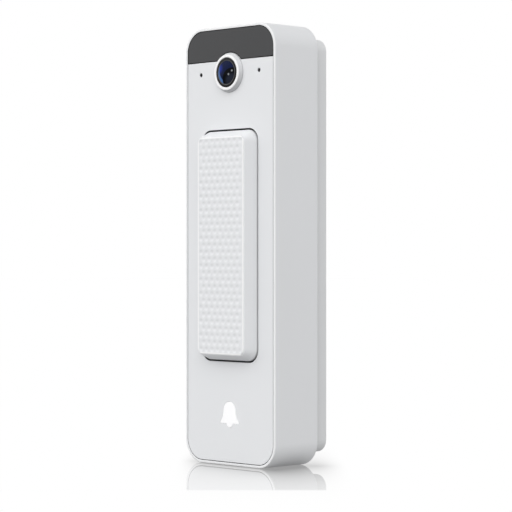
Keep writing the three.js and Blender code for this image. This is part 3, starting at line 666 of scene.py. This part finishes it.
def paint_icon_glow():
    """A painted glow: faint emission brightens the pictogram, though no lamp lights it."""
    shader = ICON_WHITE.node_tree.nodes["Principled BSDF"]
    shader.inputs["Emission Color"].default_value = (1, 1, 1, 1)
    shader.inputs["Emission Strength"].default_value = 0.1


# ---------------------------------------------------------------- housing, panel and window

def housing():
    """The shell: a tube with rebates for the panel and the rear cover, and speaker slots underneath."""
    made = sweep("housing_shell", softened([
        (0, FRONT, 0.3 * MM),
        (0, BACK, 0.45 * MM),
        (RIM, BACK, 0.12 * MM),
        (RIM, SEAL_LOW.y, 0),
        (WALL, SEAL_LOW.y, 0),
        (WALL, PANEL_BACK, 0),
        (RIM, PANEL_BACK, 0),
        (RIM, FRONT, PANEL_EDGE),
    ]), HALF_WIDTH, HALF_HEIGHT, CORNER)
    middle = (SPEAKER_LOW.y + SPEAKER_HIGH.y) / 2
    slots = []
    for i in range(SLOTS):
        x = (i - (SLOTS - 1) / 2) * SLOT_PITCH
        outline = rounded_rectangle(SLOT_HALF_WIDTH, SLOT_HALF_LENGTH, 0.65 * MM, 6, (x, middle))
        mesh_builder = bmesh.new()
        rings = []
        for z in (FLOOR - MM, FLOOR + 3 * MM):
            rings.append([mesh_builder.verts.new((a, b, z)) for a, b in outline])
        bridge(mesh_builder, *rings)
        mesh_builder.faces.new(rings[0])
        mesh_builder.faces.new(rings[1])
        slots.append(finish_mesh("slot", mesh_builder))
    combine(made, slots, "DIFFERENCE")
    place(made, "unit", SHELL_WHITE, "white_plastic", "housing")


def window_outline(gap):
    """The smoked window's outline, or with a gap the edge of the panel below it."""
    half_width, half_height = PANEL_HIGH.x, PANEL_HIGH.z
    x, z = half_width - PANEL_CORNER, half_height - PANEL_CORNER
    radius = BEZEL_RADIUS + 0.2 * MM - gap
    bottom = WINDOW_BOTTOM - gap
    reach = math.degrees(math.asin((bottom - LENS_HEIGHT) / radius))
    cut_out = arc(LENS_AXIS, radius, 180 - reach, reach, 40)
    top = arc((x, z), PANEL_CORNER, 0, 90, CORNER_STEPS)
    top += arc((-x, z), PANEL_CORNER, 90, 180, CORNER_STEPS)
    return top, [(-half_width, bottom)] + cut_out + [(half_width, bottom)]


def front_panel():
    """A flush plate, with a ledge behind the window and holes for the button, lens, microphones and icon."""
    holes = [
        rounded_rectangle(BUTTON_HALF_WIDTH + GAP, BUTTON_HALF_HEIGHT + GAP, BUTTON_CORNER + GAP),
        circle(LENS_AXIS, BEZEL_RADIUS - MM),
        circle((-SOUND_HOLE_OFFSET, LENS_HEIGHT), SOUND_HOLE, HOLE_SIDES),
        circle((SOUND_HOLE_OFFSET, LENS_HEIGHT), SOUND_HOLE, HOLE_SIDES),
        bell_outline(ICON_HOLE_SCALE),
    ]
    edge = window_outline(WINDOW_GAP)[1]
    x, z = PANEL_HIGH.x - PANEL_CORNER, PANEL_HIGH.z - PANEL_CORNER
    lower = arc((-x, -z), PANEL_CORNER, 180, 270, CORNER_STEPS)
    lower += arc((x, -z), PANEL_CORNER, 270, 360, CORNER_STEPS)
    outline = inset(list(reversed(edge)) + lower, SEAM)
    face = slab("front_panel_skin", outline, holes, FRONT, PANEL_BACK, PANEL_EDGE)

    ledge_bottom = WINDOW_BOTTOM - LEDGE_OVERLAP
    whole = rounded_rectangle(PANEL_HIGH.x, PANEL_HIGH.z, PANEL_CORNER)
    top = [point for point in whole if point[1] > 0]
    top = [(PANEL_HIGH.x, ledge_bottom)] + top + [(-PANEL_HIGH.x, ledge_bottom)]
    pockets = []
    for x_lamp in (-LAMP_OFFSET, LAMP_OFFSET):
        pockets.append(circle((x_lamp, LAMP_HEIGHT), LAMP_HOLE, HOLE_SIDES))
    pockets.append(circle((0, LIGHT_SENSOR_HEIGHT), LIGHT_SENSOR_HOLE, HOLE_SIDES))
    ledge = slab("ledge", top, pockets, WINDOW_BACK + FIT, PANEL_BACK, 0.05 * MM, 0.05 * MM)
    hole = turned("hole", [
        (0, FRONT - MM),
        (BEZEL_RADIUS - MM, FRONT - MM),
        (BEZEL_RADIUS - MM, PANEL_BACK + MM),
        (0, PANEL_BACK + MM),
    ], LENS_AXIS, closed=False)
    combine(ledge, [hole], "DIFFERENCE")
    combine(face, [ledge], "UNION")
    place(face, "unit", WHITE, "white_plastic", "front_panel")


def sound_holes():
    """A black cloth behind each microphone hole, held by the rubber boot's nose."""
    outer, inner = SOUND_HOLE - 0.02 * MM, SOUND_HOLE - 0.14 * MM
    nose_front, cloth = FRONT + 0.25 * MM, FRONT + 0.55 * MM
    for side, x in (("left", -SOUND_HOLE_OFFSET), ("right", SOUND_HOLE_OFFSET)):
        nose = turned("sound_nose_" + side, [
            (0, cloth),
            (inner, cloth),
            (inner, nose_front),
            (outer, nose_front),
            (outer, PANEL_BACK),
            (0, PANEL_BACK),
        ], (x, LENS_HEIGHT), closed=False, sides=HOLE_SIDES)
        place(nose, "unit", RUBBER, "seal_rubber")


def smoked_window():
    top, bottom = window_outline(0)
    outline = inset(top + bottom, SEAM)
    made = slab("smoked_window_pane", outline, [], FRONT + 0.08 * MM, WINDOW_BACK, 0.1 * MM)
    place(made, "unit", SMOKED, "smoked_window", "smoked_window")


def bell_icon():
    made = slab("bell_pictogram", bell_outline(ICON_SCALE), [], FRONT, PANEL_BACK, 0.05 * MM)
    stem = rounded_rectangle(ICON_POST, ICON_POST, 0.4 * MM, 4, (0, ICON_HEIGHT))
    post = slab("stem", stem, [], PANEL_BACK - 0.6 * MM, ICON_HIGH.y, 0.05 * MM)
    combine(made, [post], "UNION")
    place(made, "unit", ICON_WHITE, "clear_plastic", "bell_icon")


# ---------------------------------------------------------------- camera

def camera_rings():
    """The conical ring, the black baffle inside it and the thin grey ring round the glass."""
    bore = BAFFLE_HIGH.x + FIT
    bezel = turned("lens_ring", softened([
        (bore, BEZEL_HIGH.y, 0),
        (BEZEL_RADIUS - BEZEL_STEP, BEZEL_HIGH.y, 0),
        (BEZEL_RADIUS - BEZEL_STEP, FRONT, 0),
        (BEZEL_RADIUS, FRONT, 0),
        (BEZEL_RADIUS, FRONT - 0.15 * MM, 0.1 * MM),
        (BEZEL_FRONT_RADIUS, BEZEL_FRONT, 0.28 * MM),
        (bore, BEZEL_FRONT, 0.12 * MM),
    ]), LENS_AXIS)
    place(bezel, "unit", RING_WHITE, "white_plastic", "lens_bezel")

    inner = TRIM_HIGH.x + RING_FIT
    baffle = turned("lens_baffle_ring", softened([
        (inner, BAFFLE_HIGH.y, 0),
        (BAFFLE_HIGH.x, BAFFLE_HIGH.y, 0),
        (BAFFLE_HIGH.x, BEZEL_FRONT + 0.12 * MM, 0.06 * MM),
        (inner, BEZEL_FRONT, 0.05 * MM),
    ]), LENS_AXIS)
    place(baffle, "unit", BLACK, "black_plastic", "lens_baffle")

    ring_bore = LENS_RADIUS + RING_FIT
    trim = turned("lens_trim", softened([
        (ring_bore, TRIM_HIGH.y, 0),
        (TRIM_HIGH.x, TRIM_HIGH.y, 0),
        (TRIM_HIGH.x, BEZEL_FRONT, 0.06 * MM),
        (ring_bore, DOME_EDGE, 0.05 * MM),
    ]), LENS_AXIS)
    place(trim, "unit", TRIM, "trim_metal", "lens_trim_ring")


def camera_dome():
    """The domed glass, a cap of a sphere on a short cylinder."""
    peak = LENS_LOW.y
    rise = DOME_EDGE - peak
    curvature = (LENS_RADIUS ** 2 + rise ** 2) / (2 * rise)
    profile = []
    for i in range(DOME_STEPS + 1):
        r = LENS_RADIUS * i / DOME_STEPS
        profile.append((r, peak + curvature - math.sqrt(curvature ** 2 - r ** 2)))
    profile += [(LENS_RADIUS, LENS_HIGH.y), (0, LENS_HIGH.y)]
    dome = turned("lens_dome", profile, LENS_AXIS, closed=False)
    place(dome, "unit", LENS, "lens_glass", "front_lens")


# ---------------------------------------------------------------- push button

def dimple_depth(x, z):
    """How far the button's field is pressed in: rows of dimples, every other row half a pitch aside."""
    row = round(z / DIMPLE_ROW)
    deepest = 0.0
    for k in (row - 1, row, row + 1):
        if abs(k) > DIMPLE_ROWS // 2:
            continue
        shift = DIMPLE_PITCH / 2 if k % 2 else 0.0
        column = round((x - shift) / DIMPLE_PITCH)
        away = math.hypot(x - shift - column * DIMPLE_PITCH, z - k * DIMPLE_ROW)
        if away < DIMPLE_RADIUS:
            deepest = max(deepest, DIMPLE_DEPTH * (1 - (away / DIMPLE_RADIUS) ** 2) ** 1.5)
    return deepest


def field_levels():
    """The heights of the field's rows of points: even along the sides, and closer round the corners."""
    straight = FIELD_HALF_HEIGHT - FIELD_CORNER
    count = round(2 * straight / FIELD_GRAIN)
    middle = [straight * (2 * i / count - 1) for i in range(count + 1)]
    top = []
    for i in range(1, FIELD_CORNER_STEPS + 1):
        turn = math.radians(90 * i / FIELD_CORNER_STEPS)
        top.append(straight + FIELD_CORNER * math.sin(turn))
    return [-z for z in reversed(top)] + middle + top


def button_field(mesh_builder):
    """The dimpled field's grid of points, and the direction in which each point's edge lies."""
    columns = round(2 * FIELD_HALF_WIDTH / FIELD_GRAIN)
    grid = []
    edge_of = {}
    for z in field_levels():
        past = max(0.0, abs(z) - (FIELD_HALF_HEIGHT - FIELD_CORNER))
        side = math.sqrt(max(0.0, FIELD_CORNER ** 2 - past ** 2))
        reach = FIELD_HALF_WIDTH - FIELD_CORNER + side
        line = []
        for i in range(columns + 1):
            x = reach * (2 * i / columns - 1)
            edge = min(reach - abs(x), FIELD_HALF_HEIGHT - abs(z))
            share = min(1.0, max(0.0, edge) / FIELD_FADE)
            vert = mesh_builder.verts.new((x, BUTTON_LOW.y + share * dimple_depth(x, z), z))
            edge_of[vert] = (math.copysign(side / FIELD_CORNER, x), math.copysign(past / FIELD_CORNER, z))
            line.append(vert)
        grid.append(line)
    for lower, upper in zip(grid, grid[1:]):
        for i in range(columns):
            mesh_builder.faces.new((lower[i], lower[i + 1], upper[i + 1], upper[i]))
    return grid, edge_of


def button_cap():
    """The cap: a dimpled field, a smooth rim, leaning walls and a lip that holds it behind the panel."""
    face = BUTTON_LOW.y
    mesh_builder = bmesh.new()
    grid, edge_of = button_field(mesh_builder)
    rim = grid[0] + [line[-1] for line in grid[1:-1]] + list(reversed(grid[-1]))
    rim += [line[0] for line in reversed(grid[1:-1])]
    to_base = FACE_RIM + BUTTON_LEAN
    lip_front = PANEL_BACK + 0.05 * MM
    inside = to_base - BUTTON_WALL
    profile = softened([
        (FACE_RIM, face, BUTTON_EDGE),
        (to_base, FRONT, 0.3 * MM),
        (to_base, lip_front, 0),
        (to_base + BUTTON_LIP, lip_front, 0.1 * MM),
        (to_base + BUTTON_LIP, BUTTON_HIGH.y, 0.1 * MM),
        (inside, BUTTON_HIGH.y, 0),
        (inside - BUTTON_LEAN, face + BUTTON_FACE_THICKNESS, 0),
    ])[1:]
    rings = [rim]
    for away, y in [(FACE_RIM - BUTTON_EDGE, face)] + profile:
        ring = []
        for vert in rim:
            across, up = edge_of[vert]
            ring.append(mesh_builder.verts.new((vert.co.x + across * away, y, vert.co.z + up * away)))
        rings.append(ring)
    for first, second in zip(rings, rings[1:]):
        bridge(mesh_builder, first, second)
    mesh_builder.faces.new(rings[-1])
    made = finish_mesh("button_cap_dimpled", mesh_builder, 50)
    place(made, "button", BUTTON_WHITE, "white_plastic", "button_cap")


# ---------------------------------------------------------------- CAD nodes that keep their own shape

KEPT = {
    "wall_plate": PLATE_WHITE,
    "rear_cover": DARK,
    "wire_grommet": RUBBER,
    "cover_seal": RUBBER,
    "button_gasket": RUBBER,
    "microphone_boot_left": RUBBER,
    "microphone_boot_right": RUBBER,
    "button_frame": DARK,
    "speaker_frame": DARK,
    "lens_barrel": BLACK,
    "lens_holder": BLACK,
    "ir_filter_frame": BLACK,
    "switch_body_upper": BLACK,
    "switch_body_lower": BLACK,
    "board_connector": BLACK,
    "terminal_block": BLACK,
    "ir_lamp_left": CLEAR,
    "ir_lamp_right": CLEAR,
    "switch_plunger_upper": CLEAR,
    "switch_plunger_lower": CLEAR,
    "reset_button": CLEAR,
    "rear_lens": REAR_GLASS,
    "ir_filter_glass": FILTER,
    "bulk_capacitor": STEEL,
    "heat_spreader": STEEL,
    "camera_board": BOARD,
    "sensor_board": BOARD,
    "button_board": BOARD,
    "main_board": BOARD,
    "light_sensor": RESIN,
    "processor_chip": RESIN,
    "power_inductor": RESIN,
    "image_sensor": RESIN,
    "microphone_left": STEEL,
    "microphone_right": STEEL,
    "shield_can": STEEL,
    "speaker_magnet": STEEL,
    "cover_screw_upper_left": STEEL,
    "cover_screw_upper_right": STEEL,
    "cover_screw_lower_left": STEEL,
    "cover_screw_lower_right": STEEL,
    "reset_switch": STEEL,
    "security_screw": STEEL,
    "terminal_screw_left": BRASS,
    "terminal_screw_right": BRASS,
    "camera_flex": COPPER,
    "antenna": COPPER,
    "speaker_cone": PAPER,
    "speaker_gasket": PAPER,
}
EDGE_WIDTHS = {"wall_plate": 0.3 * MM, "rear_cover": 0.2 * MM}


def keep(node, look):
    """A CAD node with its facets merged, its edges rounded and a procedural material."""
    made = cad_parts[node]
    made.data.materials.clear()
    made.data.materials.append(look)
    weld = made.modifiers.new("weld", "WELD")
    weld.merge_threshold = 0.001 * MM
    flat = made.modifiers.new("merge_flat_faces", "DECIMATE")
    flat.decimate_type = "DISSOLVE"
    flat.angle_limit = math.radians(1)
    edges = made.modifiers.new("round_edges", "BEVEL")
    edges.width = EDGE_WIDTHS.get(node, 0.06 * MM)
    edges.segments = 2
    edges.limit_method = "ANGLE"
    edges.angle_limit = math.radians(35)
    for polygon in made.data.polygons:
        polygon.use_smooth = True
    even_shading(made)


# ---------------------------------------------------------------- studio

# Each softbox is (azimuth, elevation, focus, strength). Azimuth 0 is in front, and the right is positive.
SOFTBOXES = [
    (-40, 35, 12, 1.84),
    (45, 40, 12, 2.28),
    (0, 60, 20, 0.5),
]
WALL_LIGHT = 1.17
CEILING_LIGHT = 0.21
FLOOR_LIGHT = 0.417
CONTACT_LIGHT = 0.25
CONTACT_REACH = 7 * MM
SHADE_DEPTH = 0.58
SHADE_REACH = 16 * MM
AZIMUTH = math.radians(46.02)
REFLECTION = 0.42
REFLECTION_END = 89 * MM


def contact_shade(material, place_of):
    """How bright the floor looks: white, with a painted shadow as a soft grey strip before and behind the
    doorbell.
    """
    spans = (("X", 0, HALF_WIDTH), ("Y", (FRONT + BACK) / 2, (BACK - FRONT) / 2))
    distance = distance_outside(material, place_of, spans)
    depth = calculated(material, "EXPONENT", calculated(material, "MULTIPLY", distance, -1 / SHADE_REACH))
    across = dotted(material, place_of, (math.cos(AZIMUTH), math.sin(AZIMUTH), 0))
    left = FRONT * math.sin(AZIMUTH) - HALF_WIDTH * math.cos(AZIMUTH)
    right = PLATE_HIGH.x * math.cos(AZIMUTH)
    for outer, inner in ((left - 3 * MM, left + 7 * MM), (right + 7 * MM, right - 4 * MM)):
        depth = calculated(material, "MULTIPLY", depth, ramped(material, across, outer, inner))
    return calculated(material, "SUBTRACT", 1.0, calculated(material, "MULTIPLY", depth, SHADE_DEPTH))


def contact_light(material, place_of):
    """The light that the floor gives back: dimmer in an oval round the doorbell's foot."""
    nodes, links = material.node_tree.nodes, material.node_tree.links
    stretch = nodes.new("ShaderNodeMapping")
    stretch.inputs["Scale"].default_value = (1, 2 * HALF_WIDTH / (BACK - FRONT), 1)
    links.new(place_of, stretch.inputs["Vector"])
    away = nodes.new("ShaderNodeVectorMath")
    away.operation = "DISTANCE"
    away.inputs[1].default_value = (0, HALF_WIDTH * (FRONT + BACK) / (BACK - FRONT), 0)
    links.new(stretch.outputs["Vector"], away.inputs[0])
    lit = nodes.new("ShaderNodeMapRange")
    lit.inputs["From Min"].default_value = HALF_WIDTH
    lit.inputs["From Max"].default_value = HALF_WIDTH + CONTACT_REACH
    lit.inputs["To Min"].default_value = CONTACT_LIGHT
    lit.inputs["To Max"].default_value = FLOOR_LIGHT
    links.new(away.outputs["Value"], lit.inputs["Value"])
    return lit.outputs["Result"]


def floor():
    """A floor that looks white, mirrors the doorbell close to it, and lets it be seen from underneath."""
    bpy.ops.mesh.primitive_circle_add(
        vertices=96,
        radius=6,
        fill_type="NGON",
        location=(0, 0, FLOOR - 0.02 * MM),
    )
    made = bpy.context.active_object
    made.name = "studio_floor"
    material, shader, place_of = new_material("studio_floor")
    nodes, links = material.node_tree.nodes, material.node_tree.links
    nodes.remove(shader)
    seen = nodes.new("ShaderNodeLightPath").outputs["Is Camera Ray"]
    # The camera sees the floor's white with its painted shadow.
    bright = calculated(material, "MULTIPLY", seen, contact_shade(material, place_of))
    glow = nodes.new("ShaderNodeEmission")
    strength = calculated(material, "MAXIMUM", bright, contact_light(material, place_of))
    links.new(strength, glow.inputs["Strength"])

    mirror = nodes.new("ShaderNodeBsdfGlossy")
    mirror.inputs["Color"].default_value = (1, 1, 1, 1)
    mirror.inputs["Roughness"].default_value = 0.0
    ahead = dotted(material, place_of, (math.sin(AZIMUTH), -math.cos(AZIMUTH), 0))
    ending = ramped(material, ahead, REFLECTION_END + 4 * MM, REFLECTION_END - MM)
    mirrored = calculated(material, "MULTIPLY", calculated(material, "MULTIPLY", seen, REFLECTION), ending)
    polish = nodes.new("ShaderNodeMixShader")
    links.new(mirrored, polish.inputs["Fac"])
    links.new(glow.outputs["Emission"], polish.inputs[1])
    links.new(mirror.outputs["BSDF"], polish.inputs[2])

    surface = nodes.new("ShaderNodeNewGeometry")
    clear = nodes.new("ShaderNodeBsdfTransparent")
    one_way = nodes.new("ShaderNodeMixShader")
    links.new(surface.outputs["Backfacing"], one_way.inputs["Fac"])
    links.new(polish.outputs["Shader"], one_way.inputs[1])
    links.new(clear.outputs["BSDF"], one_way.inputs[2])
    links.new(one_way.outputs["Shader"], nodes["Material Output"].inputs["Surface"])
    made.data.materials.append(material)


def studio():
    """A room with bright walls, a dim ceiling and three broad softboxes, which looks pure white itself."""
    world = bpy.data.worlds.new("studio")
    world.use_nodes = True
    nodes, links = world.node_tree.nodes, world.node_tree.links
    around = nodes.new("ShaderNodeTexCoord").outputs["Generated"]
    above = calculated(world, "MAXIMUM", along(world, around, "Z"))
    dimming = calculated(world, "MULTIPLY", above, CEILING_LIGHT - WALL_LIGHT)
    light = calculated(world, "ADD", dimming, WALL_LIGHT)
    for azimuth, elevation, focus, strength in SOFTBOXES:
        level = math.cos(math.radians(elevation))
        towards = dotted(world, around, (
            level * math.sin(math.radians(azimuth)),
            -level * math.cos(math.radians(azimuth)),
            math.sin(math.radians(elevation)),
        ))
        facing = calculated(world, "MAXIMUM", towards)
        softbox = calculated(world, "MULTIPLY", calculated(world, "POWER", facing, focus), strength)
        light = calculated(world, "ADD", light, softbox)
    path = nodes.new("ShaderNodeLightPath")
    backdrop = calculated(world, "MAXIMUM", path.outputs["Is Camera Ray"], path.outputs["Is Singular Ray"])
    shown = nodes.new("ShaderNodeMix")
    shown.data_type = "FLOAT"
    links.new(backdrop, shown.inputs["Factor"])
    links.new(light, shown.inputs["A"])
    shown.inputs["B"].default_value = 1.0
    background = nodes["Background"]
    background.inputs["Color"].default_value = (1, 1, 1, 1)
    links.new(shown.outputs["Result"], background.inputs["Strength"])
    bpy.context.scene.world = world
    bpy.context.scene.view_settings.view_transform = "Standard"


CAMERA_DISTANCE = 684.9 * MM
CAMERA_SHIFT_RIGHT = 3.28 * MM
CAMERA_HEIGHT = -3.44 * MM
AXIS_DEPTH = -20 * MM
# The sensor and the lens are in millimetres, as a Blender camera has them.
SENSOR_WIDTH = 36
FOCAL_LENGTH = 144.94922


def camera():
    data = bpy.data.cameras.new("camera")
    data.sensor_width = SENSOR_WIDTH
    data.lens = FOCAL_LENGTH
    made = bpy.data.objects.new("camera", data)
    right = Vector((math.cos(AZIMUTH), math.sin(AZIMUTH), 0))
    ahead = Vector((-math.sin(AZIMUTH), math.cos(AZIMUTH), 0))
    target = Vector((0, AXIS_DEPTH, CAMERA_HEIGHT)) + right * CAMERA_SHIFT_RIGHT
    made.location = target - ahead * CAMERA_DISTANCE
    made.rotation_euler = ahead.to_track_quat("-Z", "Y").to_euler()
    data.clip_start = 0.01
    data.clip_end = 50
    bpy.context.scene.collection.objects.link(made)
    bpy.context.scene.camera = made


tint_shell()
tint_ring()
tint_panel()
tint_button()
paint_icon_glow()
camera()
studio()
floor()
housing()
front_panel()
sound_holes()
smoked_window()
bell_icon()
camera_rings()
camera_dome()
button_cap()
for node_name, node_look in KEPT.items():
    keep(node_name, node_look)
